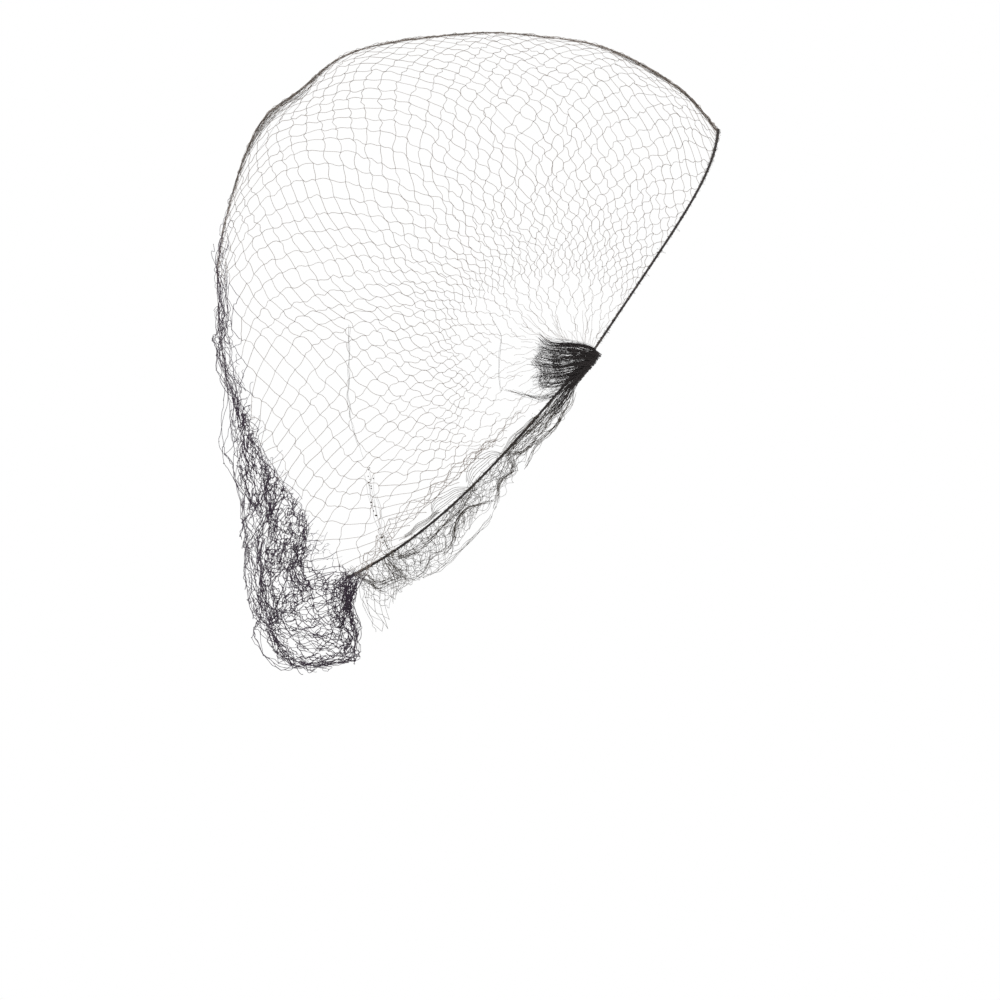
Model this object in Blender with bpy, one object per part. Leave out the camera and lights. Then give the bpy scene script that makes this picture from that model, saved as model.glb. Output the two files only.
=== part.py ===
"""A worn hairnet: knotted netting gathered into a tuft at each ear, on one loop of round elastic.

Metres, +Z up, +X forwards, +Y to the left.
The origin is the top of the crown, midway through the netting's wall.
"""

import functools
import math
from collections import namedtuple

import bmesh
import bpy
import numpy as np
from mathutils import Vector

MM = 0.001

# Driving sizes
NET_LENGTH = 178 * MM
NET_HEIGHT = 227 * MM
EAR_SPAN = 142 * MM
EAR_FORE = 43.7 * MM
EAR_DROP = 113 * MM
NETTING_WALL = 1.0 * MM
ELASTIC_DIAMETER = 0.8 * MM
CLEARANCE = 0.35 * MM
RIM_SPARE = 0.25 * MM
WELD = 0.005 * MM

# Netting: cells counted as half diagonals, from the forehead back and from ear to ear
CELLS_BACK = 20
CELLS_ACROSS = 12
GAP_SHARE = 0.71
EDGE_PARTS = 2
RIM_PARTS = 8
CROWN_CLOSER = 0.2
END_ANGLE = 0.975
KEY_STEPS = 960

# Crumples of the loose netting at the nape: waves along it, how they sway, and ripples across it
CRUMPLE_DEPTH = 2.6 * MM
CRUMPLE_WAVES = 34
CRUMPLE_SWAY = 3
CRUMPLE_SWAYS = 5
CRUMPLE_RIPPLES = 13

# Frill: the netting's edge beyond the elastic, from behind each ear to the nape
FRILL_WIDTH = 15 * MM
FRILL_WALL = 1.0 * MM
RUFFLE_DEPTH = 3.2 * MM
RUFFLES_A_SIDE = 6
FRILL_STATIONS = 46
FRILL_ROWS = 3
FRILL_EAR_ANGLE = 0.955
FRILL_NAPE_ANGLE = 0.15
RUFFLE_STAND = 0.55
RUFFLE_SWING = 0.45
EDGE_WAVES = 23
EDGE_WAVE_DEPTH = 0.10

# Which way the left frill falls from the elastic, at its ends
FALL_AT_EAR = np.array((0.68, -0.18, -0.74))
FALL_AT_NAPE = np.array((0.30, 0.0, -0.95))

# Ear gathers: a knot on the elastic and the tied ends of the netting, fanned out behind it.
# Directions are turned upwards from straight ahead.
KNOT_RADIUS = 2.9 * MM
CHANNEL_REACH = 0.12
TUFT_LENGTH = 23 * MM
TUFT_THICKNESS = 3.6 * MM
TUFT_SEAT = NETTING_WALL / 2 + 2 * CLEARANCE
TUFT_LOCKS = 9
TUFT_ROWS = 5
COLUMNS_A_LOCK = 4
LOCK_LENGTH = 0.22
LOCK_THICKNESS = 0.4
TUFT_TOP = math.radians(163)
TUFT_LOW = math.radians(236)
TUFT_ROOT = 0.06
TUFT_TAPER = 0.32
TUFT_THINNING = 0.75

SHARP_ANGLE = math.radians(50)

Look = namedtuple("Look", "color roughness")
NETTING_LOOK = Look((0.03, 0.025, 0.03), 0.6)
ELASTIC_LOOK = Look((0.02, 0.018, 0.018), 0.5)
FRILL_LOOK = Look((0.05, 0.045, 0.04), 0.6)
GATHER_LOOK = Look((0.02, 0.018, 0.02), 0.65)

# The outline on the middle plane, from the forehead over the crown to the nape:
# shares of NET_LENGTH forwards and of NET_HEIGHT down
Outline = namedtuple("Outline", "fore drop")
OUTLINE = (
    Outline(0.495, 0.152),
    Outline(0.423, 0.089),
    Outline(0.285, 0.027),
    Outline(0.150, 0.006),
    Outline(0.000, 0.000),
    Outline(-0.225, 0.027),
    Outline(-0.339, 0.089),
    Outline(-0.427, 0.152),
    Outline(-0.493, 0.308),
    Outline(-0.503, 0.440),
    Outline(-0.477, 0.589),
    Outline(-0.451, 0.745),
    Outline(-0.437, 0.880),
    Outline(-0.396, 0.964),
    Outline(-0.318, 0.996),
    Outline(-0.240, 0.984),
    Outline(-0.232, 0.930),
    Outline(-0.256, 0.884),
    Outline(-0.264, 0.858),
    Outline(-0.245, 0.852),
)

# How each line of netting from an ear to the outline lies: its place along the outline, how far
# it bows from straight as a share of its reach, where it bows, how boxy it is seen from the
# front, how much it swells past the ear span, and how deeply it is crumpled
Line = namedtuple("Line", "place bow start stop boxy swell crumple")
LINES = (
    Line(0.00, 0.076, 1.0, 6.0, 2.05, 0.00, 0.0),
    Line(0.06, 0.010, 1.0, 6.0, 2.15, 0.05, 0.0),
    Line(0.20, 0.000, 1.0, 6.0, 2.40, 0.16, 0.0),
    Line(0.45, 0.000, 1.0, 6.0, 2.40, 0.20, 0.0),
    Line(0.62, 0.030, 1.0, 8.0, 2.30, 0.18, 0.0),
    Line(0.78, 0.120, 1.0, 8.0, 2.40, 0.10, 1.0),
    Line(0.88, 0.180, 1.0, 8.0, 2.70, 0.02, 1.0),
    Line(0.96, 0.140, 1.0, 8.0, 2.50, 0.00, 0.5),
    Line(1.00, -0.123, 1.0, 2.5, 2.00, 0.00, 0.0),
)

# A frill: its place from an ear to the nape, and shares of its width and of its ruffles
Frill = namedtuple("Frill", "place width ruffle")
FRILL = (
    Frill(0.00, 0.20, 0.1),
    Frill(0.15, 0.42, 0.7),
    Frill(0.35, 0.56, 1.0),
    Frill(0.55, 0.80, 1.0),
    Frill(0.75, 0.92, 0.9),
    Frill(0.90, 1.00, 0.6),
    Frill(1.00, 0.85, 0.3),
)

EAR = np.array([EAR_FORE, -EAR_DROP])
ELASTIC_ROOM = ELASTIC_DIAMETER / 2 + CLEARANCE
NETTING_ROOM = ELASTIC_ROOM + RIM_SPARE
RIM_SAMPLES = 601
RING_SAMPLES = 361


def column(table, name, place):
    """A column of a table between its rows, eased so that a row leaves no crease."""
    places = np.array([row.place for row in table])
    values = np.array([getattr(row, name) for row in table])
    place = np.clip(np.asarray(place, float), places[0], places[-1])
    low = np.clip(np.searchsorted(places, place, side="right") - 1, 0, len(places) - 2)
    step = (place - places[low]) / (places[low + 1] - places[low])
    eased = step * step * (3 - 2 * step)
    return values[low] + (values[low + 1] - values[low]) * eased


def smooth_outline(steps=24):
    """The outline as a dense smooth curve through its rows, and each point's share of its length."""
    rows = np.array([(row.fore * NET_LENGTH, -row.drop * NET_HEIGHT) for row in OUTLINE])
    ends = np.vstack([2 * rows[0] - rows[1], rows, 2 * rows[-1] - rows[-2]])
    points = []
    for before, start, stop, after in zip(ends, ends[1:], ends[2:], ends[3:]):
        for step in np.arange(steps) / steps:
            points.append(
                0.5
                * (
                    2 * start
                    + (stop - before) * step
                    + (2 * before - 5 * start + 4 * stop - after) * step**2
                    + (3 * start - 3 * stop + after - before) * step**3
                )
            )
    points.append(rows[-1])
    points = np.array(points)
    lengths = np.linalg.norm(np.diff(points, axis=0), axis=1)
    shares = np.concatenate([[0], np.cumsum(lengths)])
    return points, shares / shares[-1]


OUTLINE_POINTS, OUTLINE_SHARES = smooth_outline()


def form(place, angle):
    """A point of the net's smooth form. place runs along the outline from the forehead at 0 to
    the nape at 1, and angle from the right ear at -1 over the middle plane at 0 to the left ear."""
    place, angle = np.broadcast_arrays(np.asarray(place, float), np.asarray(angle, float))
    edge = np.stack(
        [np.interp(place, OUTLINE_SHARES, OUTLINE_POINTS[:, axis]) for axis in (0, 1)], axis=-1
    )
    reach = np.cos(angle * math.pi / 2)
    line = edge - EAR
    aside = np.stack([line[..., 1], -line[..., 0]], axis=-1)
    start, stop = column(LINES, "start", place), column(LINES, "stop", place)
    bow = column(LINES, "bow", place) * reach**start * (1 - reach**stop)
    flat = EAR + line * reach[..., None] + aside * bow[..., None]
    boxy = column(LINES, "boxy", place)
    width = np.clip(1 - reach**boxy, 0, 1) ** (1 / boxy)
    width *= EAR_SPAN / 2 * (1 + column(LINES, "swell", place) * reach)
    return np.stack([flat[..., 0], np.sign(angle) * width, flat[..., 1]], axis=-1)


def outward(place, angle, step=1e-3):
    """The unit vector that points out of the form there."""
    low, high = max(place - step, 0), min(place + step, 1)
    along = form(high, angle) - form(low, angle)
    across = form(place, angle + step) - form(place, angle - step)
    normal = np.cross(across, along)
    return normal / np.linalg.norm(normal)


RIMS = [form(end, np.linspace(-1, 1, RIM_SAMPLES)) for end in (0, 1)]


@functools.lru_cache(maxsize=None)
def ring_round_ears(angle):
    """Places along a ring round the ears, the length to each, and its part clear of the elastic."""
    places = np.linspace(0, 1, RING_SAMPLES)
    ring = form(places, angle)
    lengths = np.concatenate([[0], np.cumsum(np.linalg.norm(np.diff(ring, axis=0), axis=1))])
    ends = []
    for rim, order in zip(RIMS, (1, -1)):
        apart = np.linalg.norm(ring[::order][: RING_SAMPLES // 2, None] - rim, axis=2).min(axis=1)
        clear = int(np.argmax(apart > NETTING_ROOM))
        share = (NETTING_ROOM - apart[clear - 1]) / (apart[clear] - apart[clear - 1])
        run = lengths[::order]
        ends.append(run[clear - 1] + (run[clear] - run[clear - 1]) * share)
    return places, lengths, ends


def place_on_ring(share, angle):
    """The place that lies a share of the way along a ring round the ears, clear of the elastic."""
    places, lengths, (start, stop) = ring_round_ears(angle)
    return float(np.interp(start + (stop - start) * share, lengths, places))


def crumple(place, angle):
    """How far the loose netting at the nape stands in or out of its smooth form."""
    depth = CRUMPLE_DEPTH * float(column(LINES, "crumple", place))
    depth *= (1 - angle**2) ** 2
    sway = CRUMPLE_SWAY * math.cos(CRUMPLE_SWAYS * angle)
    return depth * math.sin(CRUMPLE_WAVES * place + sway) * math.cos(CRUMPLE_RIPPLES * angle)


def netting_point(share, angle):
    place = place_on_ring(share, angle)
    point = form(place, angle)
    return Vector(point + outward(place, angle) * crumple(place, angle))


def new_object(name, mesh, look):
    material = bpy.data.materials.new(name)
    material.use_nodes = True
    shader = material.node_tree.nodes["Principled BSDF"]
    shader.inputs["Base Color"].default_value = (*look.color, 1)
    shader.inputs["Roughness"].default_value = look.roughness
    mesh.materials.append(material)
    made = bpy.data.objects.new(name, mesh)
    bpy.context.scene.collection.objects.link(made)
    return made


def thicken(sheet, wall):
    solidify = sheet.modifiers.new("wall", "SOLIDIFY")
    solidify.thickness = wall
    solidify.offset = 0


def mesh_of(bm, name):
    mesh = bpy.data.meshes.new(name)
    bm.to_mesh(mesh)
    bm.free()
    mesh.shade_smooth()
    mesh.set_sharp_from_angle(angle=SHARP_ANGLE)
    return mesh


def cell_angle(across):
    """The angle of a position counted in cells, which lie closer over the crown than at the ears."""
    share = 2 * across / CELLS_ACROSS - 1
    return END_ANGLE * share * (1 - CROWN_CLOSER + CROWN_CLOSER * share**2)


def cell_corners(back, across):
    """The corners of the diamond round a cell's middle, cut off at the netting's edges."""
    corners = ((back - 1, across), (back, across - 1), (back + 1, across), (back, across + 1))
    return [c for c in corners if 0 <= c[0] <= CELLS_BACK and 0 <= c[1] <= CELLS_ACROSS]


def cell_border(corners):
    """The points round a cell, as positions counted in cells."""
    border = []
    for here, there in zip(corners, corners[1:] + corners[:1]):
        along_rim = here[0] == there[0]
        along_end = here[1] == there[1]
        parts = RIM_PARTS if along_rim else 1 if along_end else EDGE_PARTS
        for part in range(parts):
            share = part / parts
            border.append(tuple(a + (b - a) * share for a, b in zip(here, there)))
    return border


def make_netting():
    """Diamond cells over the whole form, each cut through apart from those bunched at the ears."""
    bm = bmesh.new()
    made = {}

    def vertex(back, across):
        key = (round(back * KEY_STEPS), round(across * KEY_STEPS))
        if key not in made:
            made[key] = bm.verts.new(netting_point(back / CELLS_BACK, cell_angle(across)))
        return made[key]

    for back in range(CELLS_BACK + 1):
        for across in range(CELLS_ACROSS + 1):
            if (back + across) % 2 == 0:
                continue
            corners = cell_corners(back, across)
            border = cell_border(corners)
            middle = tuple(sum(values) / len(corners) for values in zip(*corners))
            ring = [vertex(*point) for point in border]
            cut = 0 < across < CELLS_ACROSS
            if cut:
                inner = [
                    vertex(*(m + (p - m) * GAP_SHARE for m, p in zip(middle, point)))
                    for point in border
                ]
                for n, here in enumerate(ring):
                    after = (n + 1) % len(ring)
                    bm.faces.new((here, ring[after], inner[after], inner[n]))
            else:
                hub = vertex(*middle)
                for n, here in enumerate(ring):
                    bm.faces.new((here, ring[(n + 1) % len(ring)], hub))
    bmesh.ops.recalc_face_normals(bm, faces=bm.faces)
    netting = new_object("netting", mesh_of(bm, "netting"), NETTING_LOOK)
    thicken(netting, NETTING_WALL)


def rim_point(place, angle):
    return Vector(form(place, angle))


def elastic_route():
    """The elastic's centre line: forehead to left ear, nape, right ear and back to the forehead."""
    stations = CELLS_ACROSS * RIM_PARTS // 2
    angles = [cell_angle(2 * station / RIM_PARTS) for station in range(stations + 1)]
    front = [rim_point(0, angle) for angle in angles]
    back = [rim_point(1, angle) for angle in reversed(angles)]
    ears = [Vector((EAR_FORE, side * EAR_SPAN / 2, -EAR_DROP)) for side in (1, -1)]
    return front + [ears[0]] + back + [ears[1]]


def make_cord(name, route, radius, closed):
    curve = bpy.data.curves.new(name, "CURVE")
    curve.dimensions = "3D"
    curve.bevel_depth = radius
    curve.bevel_resolution = 2
    curve.use_fill_caps = not closed
    spline = curve.splines.new("POLY")
    spline.points.add(len(route) - 1)
    for point, place in zip(spline.points, route):
        point.co = (*place, 1)
    spline.use_cyclic_u = closed
    return new_object(name, curve, ELASTIC_LOOK)


def frill_point(side, place, row_share):
    """A point of a ruffled edge: row_share is 0 beside the elastic and 1 at the free edge."""
    angle = side * (FRILL_EAR_ANGLE + (FRILL_NAPE_ANGLE - FRILL_EAR_ANGLE) * place)
    width = FRILL_WIDTH * float(column(FRILL, "width", place))
    depth = RUFFLE_DEPTH * float(column(FRILL, "ruffle", place))
    wave = math.sin(2 * math.pi * RUFFLES_A_SIDE * place)
    drape = place**3
    fall = FALL_AT_EAR * (1 - drape) + FALL_AT_NAPE * drape
    away = Vector(fall * (1, side, 1)).normalized()
    lift = Vector((0, side, 0)) * depth * (RUFFLE_STAND + RUFFLE_SWING * wave) * row_share
    reach = ELASTIC_ROOM + width * row_share * (1 + EDGE_WAVE_DEPTH * math.sin(EDGE_WAVES * place))
    return rim_point(1, angle) + away * reach + lift


def make_frill(name, side):
    bm = bmesh.new()
    rows = []
    for station in range(FRILL_STATIONS + 1):
        place = station / FRILL_STATIONS
        points = [frill_point(side, place, row / FRILL_ROWS) for row in range(FRILL_ROWS + 1)]
        rows.append([bm.verts.new(point) for point in points])
    for here, there in zip(rows, rows[1:]):
        for row in range(FRILL_ROWS):
            bm.faces.new((here[row], there[row], there[row + 1], here[row + 1]))
    frill = new_object(name, mesh_of(bm, name), FRILL_LOOK)
    thicken(frill, FRILL_WALL)


def helper(name):
    """An empty mesh that shapes another object and isn't itself part of the hairnet."""
    made = bpy.data.objects.new(name, bpy.data.meshes.new(name))
    bpy.context.scene.collection.objects.link(made)
    made.hide_render = True
    made.display_type = "WIRE"
    return made


def make_channel(name, route, radius):
    """A helper along the elastic's route, with the elastic's clearance round it."""
    cord = make_cord(name + "_cord", route, radius, False)
    bpy.context.view_layer.update()
    swept = bpy.data.meshes.new_from_object(
        cord.evaluated_get(bpy.context.evaluated_depsgraph_get())
    )
    bpy.data.objects.remove(cord)
    bm = bmesh.new()
    bm.from_mesh(swept)
    bmesh.ops.remove_doubles(bm, verts=bm.verts, dist=WELD)
    bmesh.ops.recalc_face_normals(bm, faces=bm.faces)
    channel = helper(name)
    bm.to_mesh(channel.data)
    bm.free()
    return channel


def ear_surface(direction, distance, side):
    """The netting's surface at a distance from an ear, in a direction seen from the side."""
    lines = OUTLINE_POINTS - EAR
    turns = np.unwrap(np.arctan2(lines[:, 1], lines[:, 0])) % (2 * math.pi)
    behind = min(turns.searchsorted(direction), len(turns) - 1)
    reach = distance / np.linalg.norm(lines[behind])
    width = abs(float(form(OUTLINE_SHARES[behind], side * 2 / math.pi * math.acos(reach))[1]))
    along = np.array([math.cos(direction), math.sin(direction)]) * distance + EAR
    return Vector((along[0], side * width, along[1]))


def tuft_layer(bm, side, columns, over):
    """One face of the fanned ends, ridged by locks that are longer and thicker than the rest."""
    grid = []
    for c in range(columns + 1):
        share = c / columns
        lock = abs(math.cos(math.pi * TUFT_LOCKS * share))
        direction = TUFT_TOP + (TUFT_LOW - TUFT_TOP) * share
        length = TUFT_LENGTH * (1 - LOCK_LENGTH + LOCK_LENGTH * lock) * (1 - TUFT_TAPER * share**3)
        line = []
        for r in range(TUFT_ROWS + 1):
            out = TUFT_ROOT + (1 - TUFT_ROOT) * r / TUFT_ROWS
            thick = TUFT_THICKNESS * (1 - LOCK_THICKNESS + LOCK_THICKNESS * lock)
            height = TUFT_SEAT + thick * (1 - TUFT_THINNING * out) * over
            point = ear_surface(direction, length * out, side)
            line.append(bm.verts.new(point + Vector((0, side * height, 0))))
        grid.append(line)
    return grid


def make_gather(name, side):
    """A knot round the elastic, with the tied ends of the netting fanned out as locks."""
    bm = bmesh.new()
    columns = TUFT_LOCKS * COLUMNS_A_LOCK
    under, over = (tuft_layer(bm, side, columns, layer) for layer in (0, 1))
    for c in range(columns):
        for r in range(TUFT_ROWS):
            bm.faces.new((over[c][r], over[c + 1][r], over[c + 1][r + 1], over[c][r + 1]))
            bm.faces.new((under[c][r], under[c][r + 1], under[c + 1][r + 1], under[c + 1][r]))
        for r in (0, TUFT_ROWS):
            bm.faces.new((under[c][r], under[c + 1][r], over[c + 1][r], over[c][r]))
    for c in (0, columns):
        for r in range(TUFT_ROWS):
            bm.faces.new((under[c][r], under[c][r + 1], over[c][r + 1], over[c][r]))
    bmesh.ops.recalc_face_normals(bm, faces=bm.faces)
    gather = new_object(name, mesh_of(bm, name), GATHER_LOOK)

    ear = Vector((EAR_FORE, side * EAR_SPAN / 2, -EAR_DROP))
    knot = helper(name + "_knot")
    bm = bmesh.new()
    bmesh.ops.create_icosphere(bm, subdivisions=2, radius=KNOT_RADIUS)
    bmesh.ops.translate(bm, verts=bm.verts, vec=ear + Vector((0, side * KNOT_RADIUS / 2, 0)))
    bm.to_mesh(knot.data)
    bm.free()

    near = side * 2 / math.pi * math.acos(CHANNEL_REACH)
    route = [rim_point(0, near), rim_point(0, side * END_ANGLE), ear]
    route += [rim_point(1, side * END_ANGLE), rim_point(1, near)]
    channel = make_channel(name + "_channel", route, ELASTIC_DIAMETER / 2 + CLEARANCE)
    for tool, operation in ((knot, "UNION"), (channel, "DIFFERENCE")):
        boolean = gather.modifiers.new(operation.lower(), "BOOLEAN")
        boolean.operation = operation
        boolean.object = tool


def main():
    for old in list(bpy.data.objects):
        bpy.data.objects.remove(old)
    make_netting()
    make_cord("rim_elastic", elastic_route(), ELASTIC_DIAMETER / 2, True)
    for hand, side in (("right", -1), ("left", 1)):
        make_frill("edge_frill_" + hand, side)
        make_gather("ear_gather_" + hand, side)


main()
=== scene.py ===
"""The hairnet dressed for looks: knotted threads, covered elastic, gathered ends and slack folds.

Metres, +Z up, +X forwards, +Y to the left.
"""

import math
from collections import namedtuple

import bpy
import numpy as np
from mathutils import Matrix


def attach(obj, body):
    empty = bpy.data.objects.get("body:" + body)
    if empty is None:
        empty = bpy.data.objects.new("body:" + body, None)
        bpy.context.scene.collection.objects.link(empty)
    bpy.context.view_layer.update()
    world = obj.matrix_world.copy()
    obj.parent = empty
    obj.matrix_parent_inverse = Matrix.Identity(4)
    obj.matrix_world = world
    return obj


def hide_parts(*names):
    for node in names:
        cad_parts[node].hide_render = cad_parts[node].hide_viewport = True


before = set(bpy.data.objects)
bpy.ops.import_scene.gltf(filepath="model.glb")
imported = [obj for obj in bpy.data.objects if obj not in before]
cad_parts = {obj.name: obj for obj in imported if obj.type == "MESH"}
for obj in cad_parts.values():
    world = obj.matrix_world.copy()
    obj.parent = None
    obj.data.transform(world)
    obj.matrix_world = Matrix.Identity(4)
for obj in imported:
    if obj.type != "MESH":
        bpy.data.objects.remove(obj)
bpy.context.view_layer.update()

MM = 0.001

# The hairnet's form, as its solids have it
NET_LENGTH = 178 * MM
NET_HEIGHT = 227 * MM
EAR_SPAN = 142 * MM
EAR_FORE = 43.7 * MM
EAR_DROP = 113 * MM
ELASTIC_DIAMETER = 0.8 * MM
END_ANGLE = 0.975
CELLS_ACROSS = 12
RIM_PARTS = 8
CROWN_CLOSER = 0.2
CRUMPLE_DEPTH = 2.6 * MM
FRILL_WIDTH = 15 * MM
RUFFLE_DEPTH = 3.2 * MM
RUFFLES_A_SIDE = 6
FRILL_EAR_ANGLE = 0.955
FRILL_NAPE_ANGLE = 0.15
KNOT_RADIUS = 2.9 * MM
TUFT_SEAT = 1.2 * MM

# The knotted net. Its rows of knots run from ear to ear: most of them cross the crown, and near the
# ears the rows of the slack are drawn together beside the elastic.
CELL_SIDE = 6.8 * MM
SLACK = 0.95
MOST_STEP = 4.4 * MM
EAR_STEP = 3.1 * MM
NARROWEST_CELL = 2.0 * MM
NARROWEST_BEHIND_EAR = 2.8 * MM
ROWS = 100
CROWN_ROWS = 0.70
CROWN_SHARE = 0.62
CROWN_SHARE_AT_EARS = 0.73
MOST_BULGE = 0.34
THREAD = 0.095 * MM
DARK_THREAD = 0.056 * MM
POUCH_THREAD = 0.165 * MM
KNOT = 0.15 * MM
KNOT_JITTER = 0.24 * MM
DRIFT = 1.7 * MM
BACK_LOOPS = 120
EDGE_LOOPS = 420
YARN_PITCH = 1.0 * MM
YARN = 0.045 * MM

# Beside the elastic at the nape, from this place on, the net is kept only where it reaches this far
NAPE_EDGE = 0.980
NAPE_REACH = 0.75

# The crumpled slack: the place where it starts down the back, and the angle that it reaches round to
SHEET_START = 0.44
SHEET_REACH = 0.62

# The yarns: dark and light tone, how finely they are twisted, roughness and sheen
Yarn = namedtuple("Yarn", "name dark light twist roughness sheen")
YARNS = {
    "thread": Yarn("net_thread", (0.085, 0.069, 0.060), (0.225, 0.185, 0.160), 900, 0.50, 0.12),
    "slack": Yarn("slack_thread", (0.009, 0.005, 0.011), (0.038, 0.023, 0.042), 900, 0.58, 0.05),
    "frill": Yarn("frill_thread", (0.018, 0.014, 0.011), (0.060, 0.049, 0.038), 900, 0.55, 0.06),
    "gather": Yarn("gather_thread", (0.007, 0.006, 0.006), (0.026, 0.021, 0.021), 900, 0.60, 0.04),
    "elastic": Yarn("elastic_yarn", (0.006, 0.005, 0.005), (0.026, 0.021, 0.021), 1400, 0.66, 0.05),
}

# What the picture takes in: its width, and its middle seen from the side
VIEW_WIDTH = 355 * MM
VIEW_MIDDLE = (10.65 * MM, -165.8 * MM)

# The form down the middle, from the forehead over the crown and round the pouch to the nape: shares
# of the length fore of the crown and of the height below it
Outline = namedtuple("Outline", "fore drop")
OUTLINE = (
    Outline(0.495, 0.152),
    Outline(0.423, 0.089),
    Outline(0.285, 0.027),
    Outline(0.150, 0.006),
    Outline(0.000, 0.000),
    Outline(-0.225, 0.027),
    Outline(-0.339, 0.089),
    Outline(-0.427, 0.152),
    Outline(-0.493, 0.308),
    Outline(-0.503, 0.440),
    Outline(-0.477, 0.589),
    Outline(-0.451, 0.745),
    Outline(-0.437, 0.880),
    Outline(-0.396, 0.964),
    Outline(-0.318, 0.996),
    Outline(-0.240, 0.984),
    Outline(-0.232, 0.930),
    Outline(-0.256, 0.884),
    Outline(-0.264, 0.858),
    Outline(-0.245, 0.852),
)

# Lines from ear to ear, by their place from the forehead round to the nape: how far they bow and how
# near the middle plane that ends, how boxy and how swollen the form is, and how crumpled its slack
Line = namedtuple("Line", "place bow stop boxy swell crumple")
LINES = (
    Line(0.00, 0.076, 6.0, 2.05, 0.00, 0.0),
    Line(0.06, 0.010, 6.0, 2.15, 0.05, 0.0),
    Line(0.20, 0.000, 6.0, 2.40, 0.16, 0.0),
    Line(0.45, 0.000, 6.0, 2.40, 0.20, 0.0),
    Line(0.62, 0.030, 8.0, 2.30, 0.18, 0.0),
    Line(0.78, 0.120, 8.0, 2.40, 0.10, 1.0),
    Line(0.88, 0.180, 8.0, 2.70, 0.02, 1.0),
    Line(0.96, 0.140, 8.0, 2.50, 0.00, 0.5),
    Line(1.00, -0.123, 2.5, 2.00, 0.00, 0.0),
)

# The frill, by its place from an ear to the nape: shares of its width and of its ruffles
Frill = namedtuple("Frill", "place width ruffle")
FRILL = (
    Frill(0.00, 0.20, 0.1),
    Frill(0.15, 0.42, 0.7),
    Frill(0.35, 0.56, 1.0),
    Frill(0.55, 0.80, 1.0),
    Frill(0.75, 0.92, 0.9),
    Frill(0.90, 1.00, 0.6),
    Frill(1.00, 0.85, 0.3),
)

# Lines down the back, millimetres fore and up: the slack hangs free behind the first, and lies
# crumpled behind the second
FREE_LINE = (
    (-83, -77), (-81, -105), (-78, -130), (-74, -144), (-64, -162), (-56, -176), (-47, -187),
    (-37, -198), (-35, -233),
)
CRUMPLE_LINE = (
    (-85, -105), (-82, -123), (-79, -134), (-76, -144), (-69, -159), (-61, -168), (-58, -176),
    (-58, -189), (-50, -194), (-38, -201), (-37, -233),
)

# Lines of bunched knots down the back, and the puckered band above each ear
CREASE = (
    (-43, -99), (-43, -130), (-42, -136), (-39, -148), (-36, -152), (-35, -165), (-33, -173),
    (-31, -180), (-28, -185),
)
PUCKER = ((15, -34), (19, -59), (25, -81), (32, -102))

# Where the crumpled slack is thinnest
AIRY = ((-76, -178), (-76, -188), (-75, -198), (-72, -208))

# Bunched threads: a path in millimetres fore and up, how far they spread, how many they are, how
# deep under the outer layer the deepest lie, and how strongly they draw the slack to them. In a
# gather's lock the last is how far along it a strand may start.
Fold = namedtuple("Fold", "path spread strands depth draw", defaults=(1, 0))
FOLDS = (
    Fold(((-88, -74), (-88, -95), (-87, -113), (-84, -129), (-80, -142)), 2.2, 14, 22, 0.3),
    Fold(
        ((-88, -95), (-87, -113), (-84, -129), (-81, -144), (-79, -155), (-76, -164), (-71, -171)),
        1.5, 6, 20, 0.25,
    ),
    Fold(((-80, -132), (-75, -144), (-70, -155), (-64, -162), (-59, -166)), 1.2, 3, 10, 0.2),
    Fold(
        ((-71, -159), (-63, -165), (-59, -170), (-59, -178), (-61, -187), (-64, -192), (-60, -198)),
        1.8, 8, 6, 0.4,
    ),
    Fold(((-74, -168), (-69, -176), (-65, -187), (-62, -194), (-56, -198)), 1.8, 4, 8, 0.3),
    Fold(
        ((-45, -189), (-44, -194), (-42, -202), (-40, -208), (-39, -214), (-43, -220)),
        1.8, 6, 3, 0.15,
    ),
    Fold(
        ((-72, -210), (-69, -217), (-64, -223), (-58, -225), (-51, -224), (-44, -221)),
        1.1, 14, 18, 0.45,
    ),
    Fold(((-75, -187), (-74, -198), (-71, -207), (-66, -215)), 1.5, 5, 6, 0.4),
    Fold(((-60, -201), (-66, -206), (-70, -209), (-65, -201), (-59, -197)), 1.6, 6, 8, 0.4),
)
FRILL_FOLDS = (
    Fold(((37, -127), (36, -131), (33, -135), (31, -139), (28, -142), (24, -146), (20, -154)), 0.7, 14),
    Fold(((36, -126), (33, -131), (28, -137), (25, -141), (21, -144)), 1.3, 16),
    Fold(((35, -125), (31, -130), (25, -137), (19, -143), (14, -149)), 0.8, 16),
    Fold(((12, -150), (15, -149), (18, -149), (21, -147), (24, -144)), 0.7, 14),
    Fold(((13, -149), (15, -153), (15, -156), (11, -159), (10, -163), (10, -166), (9, -169)), 0.8, 14),
    Fold(
        (
            (7.7, -166), (2.8, -167.6), (-1.3, -168.8), (-4.2, -171.7), (-5.8, -176.2),
            (-6.6, -181), (-10, -186),
        ),
        0.6, 13,
    ),
    Fold(((-6, -181), (-9, -184), (-14, -187), (-16, -191), (-19, -193), (-25, -196)), 1.5, 8),
    Fold(((9, -169), (5, -175), (0, -180), (-6, -186), (-12, -191), (-16, -194)), 0.9, 6),
    Fold(((-31, -185), (-28, -188), (-25, -192), (-22, -194)), 1.5, 16),
    Fold(((-30, -184), (-27, -186), (-23, -186), (-18, -184)), 1.3, 12),
    Fold(((-42, -190), (-38, -193), (-33, -195), (-28, -194)), 1.4, 12),
    Fold(((-43, -193), (-37, -194), (-33, -197), (-28, -195), (-24, -193)), 1.7, 12),
    Fold(((3, -159), (0, -164), (-4, -169), (-9, -174), (-14, -179), (-21, -184), (-26, -187)), 1.2, 10),
)
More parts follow.
